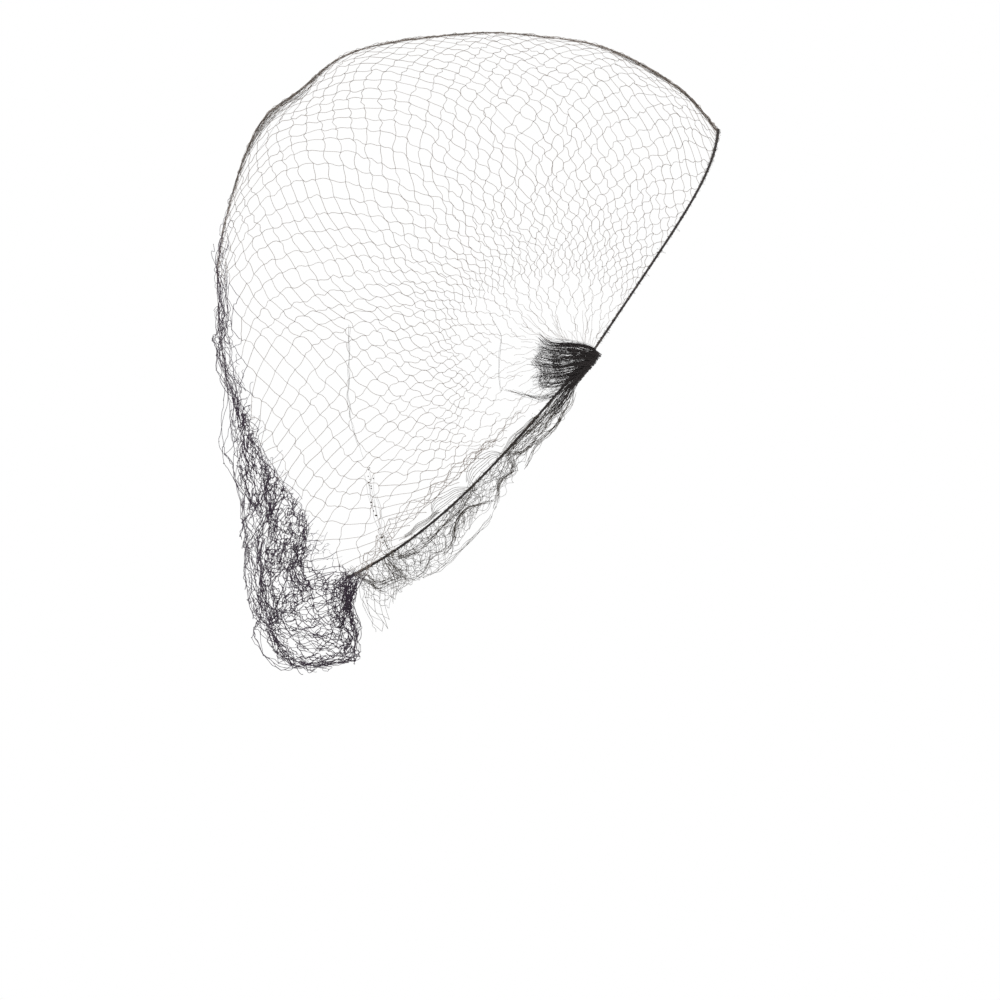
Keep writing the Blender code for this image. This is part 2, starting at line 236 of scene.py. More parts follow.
LOOSE = (
    Fold(((6, -98), (10, -106), (10.3, -110), (10.3, -116), (10.7, -126), (12.4, -126.6)), 0.4, 2, 0),
    Fold(((-31, -178), (-30, -182), (-28, -185)), 0.8, 7, 0),
    Fold(((-43, -104), (-43, -118), (-43, -130), (-42, -138), (-39, -148), (-36, -154)), 0.35, 3, 0),
    Fold(((-36, -156), (-35, -162), (-34, -167), (-33, -173), (-31, -180)), 1.4, 6, 0),
    Fold(((12, -126), (16, -127.3), (20, -128.4), (25, -129.6), (30, -127.6), (34, -125)), 1.0, 9, 0),
)

# The gather at each ear: its bound core beside the elastic, its outer arc, the way of the ends that
# trail from it, how many ends cross, bind and trail, and the locks that fan out
GATHER_CORE = ((45.2, -113.0), (42.6, -116.8), (39.0, -121.4), (35.5, -126.4))
GATHER_ARC = (
    (24.0, -107.2), (21.4, -111.1), (20.0, -116.8), (20.6, -123.2), (23.8, -128.2), (29.1, -131.7),
)
GATHER_TRAIL = ((33.5, -129.5), (28.5, -136.0))
LOCK_POINTS = 16
CROSSING_ENDS = 150
BOUND_ENDS = 80
TRAILING_ENDS = 44
LOCKS = (
    Fold(
        (
            (44.6, -112.7), (40.8, -111.2), (35.5, -110.6), (30.5, -110.6), (27.0, -109.8),
            (24.2, -107.2),
        ),
        1.1, 70, 2.6,
    ),
    Fold(((43.6, -114.0), (37.3, -112.8), (32.0, -112.8), (27.7, -112.6), (24.0, -110.6)), 1.9, 64, 3),
    Fold(((42.6, -115.4), (36.9, -115.2), (32.0, -115.6), (27.0, -115.0), (22.6, -113.4)), 1.8, 64, 3),
    Fold(((41.9, -116.8), (36.2, -117.8), (31.2, -118.4), (25.9, -117.8), (20.2, -117.2)), 1.5, 60, 3),
    Fold(((40.5, -118.9), (35.5, -120.6), (30.9, -121.6), (25.9, -121.4), (20.8, -122.8)), 1.4, 42, 2.6),
    Fold(((39.6, -120.4), (34.8, -123.4), (30.5, -124.8), (26.6, -124.6), (21.8, -125.8)), 1.2, 28, 2.4),
    Fold(((37.4, -123.6), (32.7, -127.2), (28.4, -129.2), (24.1, -129.5), (18.6, -127.6)), 1.0, 16, 2.0),
    Fold(
        (
            (24.4, -108.2), (25.8, -111.2), (25.6, -114.0), (23.6, -116.4), (26.2, -118.6),
            (27.0, -121.4), (25.4, -124.0), (28.8, -126.0),
        ),
        1.9, 40, 1.5, 0.75,
    ),
    Fold(((30.5, -110.7), (30.0, -114.6), (31.0, -118.8), (33.0, -123.2)), 2.4, 44, 3, 0.5),
    Fold(((36.2, -111.2), (37.0, -114.2), (39.2, -117.8), (39.8, -120.8)), 2.0, 30, 3),
)

# Where the rows of knots end beside the ear, by their place from the forehead round to the nape:
# millimetres fore and up, along the top and back of the gather
RowEnd = namedtuple("RowEnd", "place fore up")
ROW_ENDS = (
    RowEnd(0.00, 44.2, -112.2),
    RowEnd(0.12, 41.0, -110.6),
    RowEnd(0.30, 34.0, -109.6),
    RowEnd(0.45, 27.5, -109.0),
    RowEnd(0.55, 23.0, -110.0),
    RowEnd(0.75, 22.5, -117.0),
    RowEnd(0.90, 27.0, -124.0),
    RowEnd(1.00, 38.0, -119.2),
)
DRAWN_REACH = 0.46

# Rows that bulge from the elastic at the nape: where they lie at the elastic and, farthest off, in
# millimetres fore and up
Bulge = namedtuple("Bulge", "near far")
BULGES = (
    Bulge(
        ((-14.0, -173.2), (-11.5, -171.0), (-9.0, -169.0), (-6.5, -167.0), (-3.5, -164.6), (-0.3, -162.0)),
        ((-14.2, -171.0), (-13.6, -167.6), (-12.0, -165.2), (-8.4, -163.0), (-3.9, -161.2), (0.4, -161.0)),
    ),
    Bulge(
        ((-0.5, -162.2), (2.0, -160.0), (4.5, -157.4), (7.0, -154.8), (9.5, -152.2), (12.0, -149.6)),
        ((-1.2, -160.6), (-1.4, -157.0), (-0.2, -153.6), (3.4, -150.2), (7.6, -148.4), (11.9, -149.2)),
    ),
    Bulge(
        ((-25.0, -180.6), (-22.0, -179.0), (-19.0, -177.0), (-16.0, -174.8), (-13.0, -172.4), (-10.0, -169.8)),
        ((-24.6, -179.6), (-21.5, -177.0), (-18.6, -174.4), (-16.0, -172.6), (-13.4, -170.6), (-10.4, -169.2)),
    ),
    Bulge(
        ((10.5, -151.0), (13.5, -147.8), (16.5, -144.6), (19.5, -141.4), (22.5, -138.2), (25.5, -135.2)),
        ((10.0, -149.8), (12.4, -146.4), (15.2, -143.2), (18.2, -140.2), (21.6, -137.2), (25.2, -134.8)),
    ),
)

# Rows seen edge-on down the middle: how many they are and the points in each, the ranges of their
# first place and length, where they stop, how far from the middle plane they start, how they slant
# and how deep they lie, the size, depth and seed of their waves, their thickness, and the places
# between which they open and close
EdgeRows = namedtuple(
    "EdgeRows", "count points first length limit aside slant deep size wave seed thick closing"
)
EDGE_ROWS = (
    EdgeRows(34, 44, (0.0, 0.52), (0.08, 0.22), 0.66, 0.035, 0.01, 0.15, 2.0, 0.18, 17, 1.0, ()),
    EdgeRows(34, 24, (-0.02, 0.03), (0.03, 0.14), 1.0, 0.07, 0.02, 0.5, 3.0, 0.30, 19, 1.2, ()),
    EdgeRows(44, 30, (0.33, 0.41), (0.04, 0.10), 0.475, 0.13, 0.04, 0.5, 2.5, 0.26, 18, 0.85, (0.32, 0.49)),
)

EAR = np.array([EAR_FORE, -EAR_DROP])


def column(table, name, place):
    places = np.array([row.place for row in table])
    values = np.array([getattr(row, name) for row in table])
    place = np.clip(np.asarray(place, float), places[0], places[-1])
    low = np.clip(np.searchsorted(places, place, side="right") - 1, 0, len(places) - 2)
    step = (place - places[low]) / (places[low + 1] - places[low])
    eased = step * step * (3 - 2 * step)
    return values[low] + (values[low + 1] - values[low]) * eased


def smooth_path(rows, steps=24):
    """A dense smooth curve through the rows."""
    rows = np.asarray(rows, float)
    ends = np.vstack([2 * rows[0] - rows[1], rows, 2 * rows[-1] - rows[-2]])
    step = (np.arange(steps) / steps)[:, None]
    points = []
    for before, start, stop, after in zip(ends, ends[1:], ends[2:], ends[3:]):
        points.append(
            0.5
            * (
                2 * start
                + (stop - before) * step
                + (2 * before - 5 * start + 4 * stop - after) * step**2
                + (3 * start - 3 * stop + after - before) * step**3
            )
        )
    return np.vstack(points + [rows[-1:]])


def run_of(points):
    """The length along a path to each of its points."""
    lengths = np.linalg.norm(np.diff(points, axis=0), axis=1)
    return np.concatenate([[0], np.cumsum(lengths)])


def along(points, run, wanted):
    """Points of a path at the wanted lengths along it."""
    return np.stack([np.interp(wanted, run, points[:, n]) for n in range(points.shape[1])], axis=-1)


OUTLINE_POINTS = smooth_path([(row.fore * NET_LENGTH, -row.drop * NET_HEIGHT) for row in OUTLINE])
OUTLINE_RUN = run_of(OUTLINE_POINTS)
OUTLINE_SHARES = OUTLINE_RUN / OUTLINE_RUN[-1]


def reach_of(angle):
    """From 1 at the middle plane to 0 at an ear."""
    return np.cos(angle * math.pi / 2)


def form(place, angle):
    """A point of the net's smooth form: place runs from the forehead at 0 over the crown to the
    nape at 1, and angle from the right ear at -1 over the middle plane to the left ear at 1."""
    place, angle = np.broadcast_arrays(np.asarray(place, float), np.asarray(angle, float))
    place = np.clip(place, 0, 1)
    edge = along(OUTLINE_POINTS, OUTLINE_SHARES, place)
    reach = reach_of(angle)
    line = edge - EAR
    aside = np.stack([line[..., 1], -line[..., 0]], axis=-1)
    bow = column(LINES, "bow", place) * reach * (1 - reach ** column(LINES, "stop", place))
    flat = EAR + line * reach[..., None] + aside * bow[..., None]
    boxy = column(LINES, "boxy", place)
    width = np.clip(1 - reach**boxy, 0, 1) ** (1 / boxy)
    width = width * EAR_SPAN / 2 * (1 + column(LINES, "swell", place) * reach)
    return np.stack([flat[..., 0], np.sign(angle) * width, flat[..., 1]], axis=-1)


def unit(vectors):
    return vectors / np.maximum(np.linalg.norm(vectors, axis=-1, keepdims=True), 1e-12)


def outward(place, angle, step=1e-3):
    """Unit vectors that point out of the form."""
    lengthways = form(np.minimum(place + step, 1), angle) - form(np.maximum(place - step, 0), angle)
    crossways = form(place, angle + step) - form(place, angle - step)
    return unit(np.cross(crossways, lengthways))


def crumple(place, angle):
    depth = CRUMPLE_DEPTH * column(LINES, "crumple", place) * (1 - angle**2) ** 2
    return depth * np.sin(34 * place + 3 * np.cos(5 * angle)) * np.cos(13 * angle)


def drift(points, size, seed):
    """A smooth random displacement, which varies over about the given size."""
    random = np.random.default_rng(seed)
    moved = np.zeros(points.shape)
    for _ in range(7):
        direction = unit(random.normal(size=3)) * random.uniform(0.6, 1.9) / size
        phase = random.uniform(0, 2 * math.pi)
        moved += np.sin(points @ direction + phase)[..., None] * random.normal(size=3)
    return moved / 2.6


def new_seed(random):
    return int(random.integers(1 << 30))


def smoothstep(values, low, high):
    share = np.clip((values - low) / (high - low), 0, 1)
    return share * share * (3 - 2 * share)


def nearest(points, path):
    """The nearest point of a path to each point, seen from the side, and how far off it is."""
    flat = points[..., (0, 2)].reshape(-1, 2)
    found = np.empty(flat.shape)
    for first in range(0, len(flat), 2000):
        part = flat[first : first + 2000]
        apart = np.linalg.norm(part[:, None] - path, axis=2)
        found[first : first + 2000] = path[apart.argmin(axis=1)]
    apart = np.linalg.norm(flat - found, axis=1)
    return found.reshape(*points.shape[:-1], 2), apart.reshape(points.shape[:-1])


def side_path(rows):
    return smooth_path(np.array(rows) * MM, 10)


# How far below the crown the slack starts to hang free, and where it is wholly free
FREE_TOP = (72 * MM, 104 * MM)
FREE_PATH = side_path(FREE_LINE)
CRUMPLE_PATH = side_path(CRUMPLE_LINE)


def beyond(points, path, top=FREE_TOP):
    """From 0 in front of a line down the back to 1 behind it, starting below its top."""
    order = np.argsort(path[:, 1])
    limit = np.interp(points[..., 2], path[order, 1], path[order, 0])
    free = smoothstep(limit - points[..., 0], -1.5 * MM, 2.0 * MM)
    return free * smoothstep(-points[..., 2], *top)


# Meshes


def add_object(name, data):
    added = bpy.data.objects.new(name, data)
    bpy.context.scene.collection.objects.link(added)
    return added


def add_mesh(name, vertices, faces, material, replaced=()):
    """faces is a list of index arrays, one for each number of corners."""
    mesh = bpy.data.meshes.new(name)
    mesh.vertices.add(len(vertices))
    mesh.vertices.foreach_set("co", np.asarray(vertices, np.float32).ravel())
    corners = np.concatenate([block.ravel() for block in faces]).astype(np.int32)
    sizes = np.concatenate([np.full(len(block), block.shape[1]) for block in faces])
    starts = np.concatenate([[0], np.cumsum(sizes)[:-1]]).astype(np.int32)
    mesh.loops.add(len(corners))
    mesh.loops.foreach_set("vertex_index", corners)
    mesh.polygons.add(len(sizes))
    mesh.polygons.foreach_set("loop_start", starts)
    mesh.update(calc_edges=True)
    mesh.validate()
    mesh.shade_smooth()
    mesh.materials.append(material)
    piece = add_object(name, mesh)
    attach(piece, "root")
    if replaced:
        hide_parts(*replaced)
    return piece


class Bundle:
    """Threads and knots gathered into one mesh."""

    def __init__(self):
        self.vertices = []
        self.quads = []
        self.triangles = []
        self.count = 0

    def threads(self, paths, radius, sides=3):
        """Closed round threads along paths: an array of threads by points by three."""
        threads, points = paths.shape[:2]
        radius = np.broadcast_to(np.asarray(radius, float), (threads, points))
        tangent = unit(np.gradient(paths, axis=1))
        side_way = np.zeros_like(tangent)
        side_way[..., 1] = 1
        steep = np.abs(tangent[..., 1]) > 0.9
        side_way[steep] = (0, 0, 1)
        first = unit(np.cross(tangent, side_way))
        second = np.cross(tangent, first)
        turns = np.arange(sides) * 2 * math.pi / sides
        ring = first[:, :, None] * np.cos(turns)[:, None] + second[:, :, None] * np.sin(turns)[:, None]
        body = paths[:, :, None] + ring * radius[:, :, None, None]
        index = np.arange(threads * points * sides).reshape(threads, points, sides) + self.count
        after = np.roll(index, -1, axis=2)
        quads = np.stack([index[:, :-1], after[:, :-1], after[:, 1:], index[:, 1:]], axis=-1)
        self.vertices.append(body.reshape(-1, 3))
        self.quads.append(quads.reshape(-1, 4))
        if sides == 3:
            self.triangles.append(index[:, 0, ::-1])
            self.triangles.append(index[:, -1])
        else:
            for end, order in ((index[:, 0], 1), (index[:, -1], -1)):
                for n in range(1, sides - 1):
                    self.triangles.append(np.stack([end[:, 0], end[:, n + 1], end[:, n]], -1)[:, ::order])
        self.count += threads * points * sides

    def knots(self, centres, radius, random):
        """Small uneven lumps."""
        corners = np.array([(1, 0, 0), (-1, 0, 0), (0, 1, 0), (0, -1, 0), (0, 0, 1), (0, 0, -1)])
        above = [(0, 2, 4), (2, 1, 4), (1, 3, 4), (3, 0, 4)]
        below = [(2, 0, 5), (1, 2, 5), (3, 1, 5), (0, 3, 5)]
        faces = np.array(above + below)
        stretch = random.uniform(0.75, 1.35, (len(centres), 1, 3))
        body = centres[:, None] + corners * stretch * np.reshape(radius, (-1, 1, 1))
        index = faces + (np.arange(len(centres)) * len(corners))[:, None, None] + self.count
        self.vertices.append(body.reshape(-1, 3))
        self.triangles.append(index.reshape(-1, 3))
        self.count += len(centres) * len(corners)

    def mirrored(self):
        """The same for the other side."""
        other = Bundle()
        other.vertices = [block * (1, -1, 1) for block in self.vertices]
        other.quads = [block[:, ::-1] for block in self.quads]
        other.triangles = [block[:, ::-1] for block in self.triangles]
        other.count = self.count
        return other

    def make_pair(self, name, material, slot, replaced=()):
        self.make(name + "_right", material, slot, [node.format("right") for node in replaced])
        self.mirrored().make(name + "_left", material, slot, [node.format("left") for node in replaced])

    def make(self, name, material, slot, replaced=()):
        faces = [np.vstack(block) for block in (self.quads, self.triangles) if block]
        return add_mesh(name, np.vstack(self.vertices), faces, material, replaced)


def slack_paths(starts, stops, length, normals, random, points=6, tame=0.62):
    """Threads of one length between knots: where the knots are closer together they hang in waves."""
    chord = np.linalg.norm(stops - starts, axis=1)
    spare = np.clip(length / np.maximum(chord, 1e-6) - 1, 0.004, 1.5)
    bulge = np.minimum(2 / math.pi * chord * np.sqrt(spare), MOST_BULGE * length) * tame
    share = np.linspace(0, 1, points)
    lengthways = unit(stops - starts)
    aside = unit(np.cross(lengthways, normals))
    lean = random.uniform(-1, 1, len(starts))[:, None]
    first = unit(aside * np.sign(random.uniform(-1, 1, len(starts)))[:, None] + normals * lean * 0.55)
    second = unit(aside * random.uniform(-1, 1, len(starts))[:, None] + normals * lean * 0.6)
    wave = random.uniform(0.15, 0.85, len(starts))
    bow = np.sin(math.pi * share)
    snake = np.sin(2 * math.pi * share)
    paths = starts[:, None] + (stops - starts)[:, None] * share[:, None]
    paths += first[:, None] * (bulge * (1 - wave))[:, None, None] * bow[:, None]
    paths += second[:, None] * (bulge * wave * 0.6)[:, None, None] * snake[:, None]
    return paths


# The knotted net


def ring_share(rows, reach):
    """How far along a ring round the ears a row of knots lies."""
    split = CROWN_SHARE + (CROWN_SHARE_AT_EARS - CROWN_SHARE) * (1 - reach) ** 1.4
    before = rows / CROWN_ROWS * split
    after = split + (rows - CROWN_ROWS) / (1 - CROWN_ROWS) * (1 - split)
    return np.where(rows < CROWN_ROWS, before, after)


RING_ANGLES = np.linspace(0, END_ANGLE, 31)
RING_LENGTHS = [run_of(form(np.linspace(0, 1, 181), angle))[-1] for angle in RING_ANGLES]


def ring_length(angle):
    return np.interp(np.abs(angle), RING_ANGLES, RING_LENGTHS)


def angle_steps():
    """Angles of the columns of knots from the middle plane to the right ear, spaced as cells need."""
    angles = np.linspace(0, END_ANGLE, 1201)
    run = run_of(form(0.3, angles))
    reach = reach_of(angles)
    share = ring_share(CROWN_ROWS, reach)
    half_width = ring_length(angles) * share / (CROWN_ROWS * ROWS)
    spacing = np.sqrt(np.maximum(CELL_SIDE**2 - half_width**2, (0.4 * CELL_SIDE) ** 2)) * SLACK
    most = EAR_STEP + (MOST_STEP - EAR_STEP) * smoothstep(reach, 0.15, 0.62)
    spacing = np.minimum(spacing, most) * (0.5 + 0.5 * smoothstep(angles, 0.01, 0.09))
    count = np.concatenate([[0], np.cumsum(np.diff(run) / spacing[1:])])
    steps = int(round(count[-1]))
    return -np.interp(np.arange(steps + 1) * count[-1] / steps, count, angles)


ANGLES = angle_steps()


def lattice_places(angles, rows):
    places = np.empty((len(rows), len(angles)))
    even = np.linspace(0, 1, 361)
    for n, angle in enumerate(angles):
        run = run_of(form(even, angle))
        share = ring_share(rows, math.cos(angle * math.pi / 2))
        places[:, n] = np.interp(share * run[-1], run, even)
    return places


def diamond_pairs(rows, columns):
    """Which knots the threads of a diamond net join."""
    row, col = np.meshgrid(np.arange(rows), np.arange(columns), indexing="ij")
    keep = (row + col) % 2 == 0
    row, col = row[keep], col[keep]
    up = (row < rows - 1) & (col < columns - 1)
    down = (row > 0) & (col < columns - 1)
    starts = np.concatenate([np.stack([row[up], col[up]], 1), np.stack([row[down], col[down]], 1)])
    stops = np.concatenate(
        [np.stack([row[up] + 1, col[up] + 1], 1), np.stack([row[down] - 1, col[down] + 1], 1)]
    )
    return starts, stops, np.stack([row, col], 1)


def coarseness(row, col, places):
    """How many rows and columns of knots a cell of the net spans on each side: the rows crowd
    towards the ears, so the cells take in more of them there."""
    reach = reach_of(ANGLES[col])
    share = row / (len(places) - 1)
    step = 0.005
    crowding = (ring_share(share + step, reach) - ring_share(share - step, reach)) / (2 * step)
    gap = crowding * ring_length(ANGLES[col]) / ROWS
    place = places[row, col]
    least = NARROWEST_CELL + (NARROWEST_BEHIND_EAR - NARROWEST_CELL) * smoothstep(place, 0.38, 0.5)
    level = np.ones(len(row), int)
    for _ in range(3):
        level = np.where(2 * gap * level < least, level * 2, level)
    return level


def net_knots():
    """The places of the net's knots: drawn off an even pattern by slack, puckers and creases."""
    random = np.random.default_rng(11)
    rows = np.linspace(0, 1, ROWS + 1)
    places = lattice_places(ANGLES, rows)
    angles = np.broadcast_to(ANGLES, places.shape)
    points = form(places, angles)
    normals = outward(places, angles)
    points = points + normals * crumple(places, angles)[..., None]
    reach = reach_of(angles)
    calm = reach**0.6
    calm = calm * smoothstep(np.minimum(rows, 1 - rows), 0, 0.02)[:, None]
    move = drift(points, 17 * MM, 21) * DRIFT + drift(points, 6 * MM, 22) * DRIFT * 0.45
    move += random.normal(size=points.shape) * KNOT_JITTER
    _, apart = nearest(points, side_path(PUCKER))
    rumpled = np.exp(-((apart / (11 * MM)) ** 2))
    rough = random.normal(size=points.shape) * 0.6 * MM
    move += (drift(points, 3 * MM, 23) * 1.1 * MM + rough) * rumpled[..., None]
    near_ear = 1 - smoothstep(reach, 0.25, 0.5)[..., None]
    move += drift(points, 4 * MM, 28) * 0.9 * MM * near_ear
    free = beyond(points, FREE_PATH)[..., None]
    move += (drift(points, 7 * MM, 24) * 2.4 * MM + random.normal(size=points.shape) * 0.6 * MM) * free
    move -= normals * np.sum(move * normals, axis=-1, keepdims=True) * (0.88 - 0.80 * free)
    points = points + move * calm[..., None]
    ends = np.stack([column(ROW_ENDS, name, places) for name in ("fore", "up")], axis=-1) * MM
    drawn = (1 - smoothstep(reach, 0, DRAWN_REACH))[..., None]
    points[..., (0, 2)] += (ends - EAR) * drawn
    points[..., 1] -= 1.0 * MM * drawn[..., 0]
    goal, apart = nearest(points, side_path(CREASE))
    pull = 0.5 * np.exp(-((apart / (4.0 * MM)) ** 2))[..., None]
    points[..., (0, 2)] += (goal - points[..., (0, 2)]) * pull
    points[:, 0, 1] = 0
    return points, normals, places, angles


def row_ends(points, places, random):
    """The last threads of the rows, drawn on to the top and back of the gather."""
    row = np.arange(len(points))
    row = row[(row % 2 == 0) & ((places[:, -1] < 0.45) | (row % 4 == 0))]
    last = points.shape[1] - 1 - random.integers(0, 4, len(row))
    place = np.clip(places[row, last] + random.normal(size=len(row)) * 0.015, 0, 1)
    flat = np.stack([column(ROW_ENDS, name, place) for name in ("fore", "up")], axis=-1) * MM
    stops = over_ear(flat + random.normal(size=flat.shape) * 0.4 * MM)
    stops[:, 1] -= 1.5 * MM
    share = np.linspace(0, 1, 12)[:, None]
    lines = points[row, last][:, None] * (1 - share) + stops[:, None] * share
    wave = np.sin(math.pi * share) ** 0.5 * 0.5 * MM
    return lines + drift(lines + row[:, None, None] * 3 * MM, 1.6 * MM, 26) * wave


def make_net(materials):
    random = np.random.default_rng(12)
    points, normals, places, angles = net_knots()
    starts, stops, knots = diamond_pairs(*places.shape)
    level = coarseness(*starts.T, places)
    rising = stops[:, 0] > starts[:, 0]
    diagonal = np.where(rising, starts[:, 0] - starts[:, 1], starts[:, 0] + starts[:, 1]) // 2
    reach = reach_of(angles[tuple(starts.T)])
    kept = (places[tuple(starts.T)] < NAPE_EDGE) | (reach > NAPE_REACH)
    kept &= diagonal % level == 0
    starts, stops, reach = starts[kept], stops[kept], reach[kept]
    row, col = knots.T
    level = coarseness(row, col, places)
    knots = knots[((row - col) // 2 % level == 0) & ((row + col) // 2 % level == 0)]
    here, there = (points[tuple(pair.T)] for pair in (starts, stops))
    free = beyond((here + there) / 2, FREE_PATH)
    length = np.minimum(CELL_SIDE, np.linalg.norm(there - here, axis=1) * 1.45)
    paths = slack_paths(here, there, length, normals[tuple(starts.T)], random, 5, tame=0.66)
    radius = THREAD * (0.70 + 0.30 * smoothstep(reach, 0.05, 0.45)) * (1 - free) + POUCH_THREAD * 0.7 * free
    kink = free[:, None, None] * np.sin(np.linspace(0, math.pi, 5))[:, None] * 0.6 * MM
    paths = paths + drift(paths, 1.1 * MM, 27) * kink
    radius = radius * random.uniform(0.85, 1.2, len(paths))
    centres = points[tuple(knots.T)]
    knot_free = beyond(centres, FREE_PATH)
    knot_radius = KNOT * (1 + 0.4 * knot_free) * random.uniform(0.8, 1.25, len(centres))
    for name, material, threads, lumps in (
        ("crown_net", "thread", free <= 0.5, knot_free <= 0.5),
        ("pouch_net", "slack", free > 0.5, knot_free > 0.5),
    ):
        bundle = Bundle()
        bundle.threads(paths[threads], radius[threads, None])
        bundle.knots(centres[lumps], knot_radius[lumps], random)
        if name == "crown_net":
            bundle.threads(row_ends(points, places, random), THREAD * 0.62)
        bundle.make_pair(name, materials[material], "netting", ("netting",))
    return points[places > 0.3]


def make_bunched_rows(materials):
    """Rows of the net drawn close together: wavy beside the nape's elastic, and edge-on down the
    middle of the crown and back."""
    random = np.random.default_rng(15)
    bundle = Bundle()
    paths = []
    for bulge in BULGES:
        near, far = side_path(bulge.near), side_path(bulge.far)
        for n in range(6):
            share = (n + random.uniform(0.8, 1.2)) / 6
            line = over_ear(near + (far - near) * share)
            line[:, 1] -= random.uniform(0, 0.8) * MM
            start, stop = random.integers(0, 8), len(line) - random.integers(0, 8)
            line = along(line, np.arange(len(line)), np.linspace(start, stop, 44))
            line = line + drift(line, 1.6 * MM, 16) * 0.26 * MM + drift(line, 2.2 * MM, 30 + n) * 0.07 * MM
            paths.append(line)
    bundle.threads(np.array(paths), DARK_THREAD * 1.7)
    for rows in EDGE_ROWS:
        paths = []
        for n in range(rows.count):
            first = random.uniform(*rows.first)
            last = min(first + random.uniform(*rows.length), rows.limit)
            place = np.clip(np.linspace(first, last, rows.points), 0, 1)
            angle = -random.uniform(0, rows.aside) + np.linspace(0, random.normal() * rows.slant, rows.points)
            if rows.closing:
                angle = angle * np.sin(math.pi * smoothstep(place, *rows.closing)) ** 0.5
            line = form(place, angle) - outward(place, angle) * random.uniform(0, rows.deep) * MM
            paths.append(line + drift(line + n * 7 * MM, rows.size * MM, rows.seed) * rows.wave * MM)
        bundle.threads(np.array(paths), DARK_THREAD * rows.thick)
    bundle.make_pair("bunched_rows", materials["frill"], "netting")


# The slack at the nape


def onto_skin(flat, skin):
    """How far from the middle plane the outermost of a surface's points lie, seen from the side."""
    out = np.empty(len(flat))
    for n, point in enumerate(flat):
        apart = np.linalg.norm(skin[:, (0, 2)] - point, axis=1)
        near = skin[apart < 3.5 * MM]
        out[n] = np.abs(near[:, 1]).max() if len(near) else np.abs(skin[apart.argmin(), 1])
    return out


def fold_strands(fold, skin, random, points=44, shortest=0.2, wave=0.75):
    """Wavy strands that keep together along a fold's path, on the right side."""
    path = side_path(fold.path)
    run = run_of(path)
    outs = np.convolve(np.pad(onto_skin(path, skin), 6, mode="edge"), np.ones(13) / 13, "valid")
    paths = []
    for _ in range(fold.strands):
        start = random.uniform(-0.1, 0.9 - shortest)
        stop = start + random.uniform(shortest, shortest + 0.5)
        wanted = np.clip(np.linspace(start, stop, points), 0, 1.0) * run[-1]
        wanted += np.linspace(0, 1e-5, points)
        line = along(path, run, wanted)
        out = np.maximum(np.interp(wanted, run, outs) - random.uniform(0, fold.depth) * MM, 0.5 * MM)
        strand = np.stack([line[:, 0], -out, line[:, 1]], axis=1)
        shift = random.normal(size=(3, 3)) * 20 * MM
        strand = strand + random.normal(size=3) * fold.spread * 0.45 * MM
        strand += drift(strand + shift[0], 1.4 * MM, new_seed(random)) * wave * MM
        strand += drift(strand + shift[1], 6.0 * MM, new_seed(random)) * fold.spread * 0.6 * MM
        paths.append(strand)
    return np.array(paths)


def crumpled_sheet(bundle, seed, spacing, inset, line, top):
    """A layer of slack net, crumpled into small uneven cells that bunch along the folds. Inset is
    how far inside the smooth form it lies."""
    random = np.random.default_rng(seed)
    even = np.linspace(SHEET_START, 1, 400)
    run = run_of(form(even, 0))
    turned = np.linspace(0, -SHEET_REACH, 400)
    across = run_of(form(0.8, turned))
    places, angles = np.meshgrid(
        np.interp(np.arange(0, run[-1], spacing), run, even),
        np.interp(np.arange(0, across[-1], spacing), across, turned),
        indexing="ij",
    )
    points = form(places, angles)
    deep = inset + drift(points, 5 * MM, seed + 3)[..., :1] * inset * 0.35
    points = points - outward(places, angles) * deep
    points = points + drift(points, 6 * MM, seed + 1) * 1.6 * MM + drift(points, 2.2 * MM, seed + 2) * 0.7 * MM
    points = points + random.normal(size=points.shape) * spacing * 0.26
    bunched = np.zeros(points.shape[:2])
    for fold in FOLDS:
        goal, apart = nearest(points, side_path(fold.path))
        near = np.exp(-((apart / (5 * MM)) ** 2))
        bunched = np.maximum(bunched, near * min(1, fold.draw * 2))
        pull = fold.draw * random.uniform(0.7, 1.1) * near[..., None]
        points[..., (0, 2)] += (goal - points[..., (0, 2)]) * pull
    starts, stops, knots = diamond_pairs(*places.shape)
    start, stop = tuple(starts.T), tuple(stops.T)
    keep = beyond(points[start], line, top) > random.uniform(0.2, 0.9, len(starts))
    keep &= random.uniform(0, 1, len(starts)) < 0.66 + 0.34 * bunched[start]
    edge_on = 1 - smoothstep(-angles[start], 0.10, 0.22)
    keep &= random.uniform(0, 1, len(starts)) > edge_on * (0.35 + 0.4 * (inset > MM))
    _, airy = nearest(points[start], side_path(AIRY))
    keep &= random.uniform(0, 1, len(starts)) > 0.5 * np.exp(-((airy / (8 * MM)) ** 2)) * (inset > MM)
    here, there = points[start][keep], points[stop][keep]
    facing = outward(places[start], angles[start])[keep]
    length = np.minimum(spacing * 1.9, np.linalg.norm(there - here, axis=1) * 1.7)
    paths = slack_paths(here, there, length, facing, random, 5, tame=0.9)
    bend = np.sin(np.linspace(0, math.pi, 5))[:, None] * 0.35 * MM
    paths = paths + drift(paths, 1.0 * MM, seed + 5) * bend
    thick = random.uniform(0.45, 1.2, len(paths)) * (0.5 + 0.5 * beyond(here, CRUMPLE_PATH))
    bundle.threads(paths, POUCH_THREAD * thick[:, None])
    bundle.knots(here, KNOT * random.uniform(0.7, 1.5, len(here)), random)


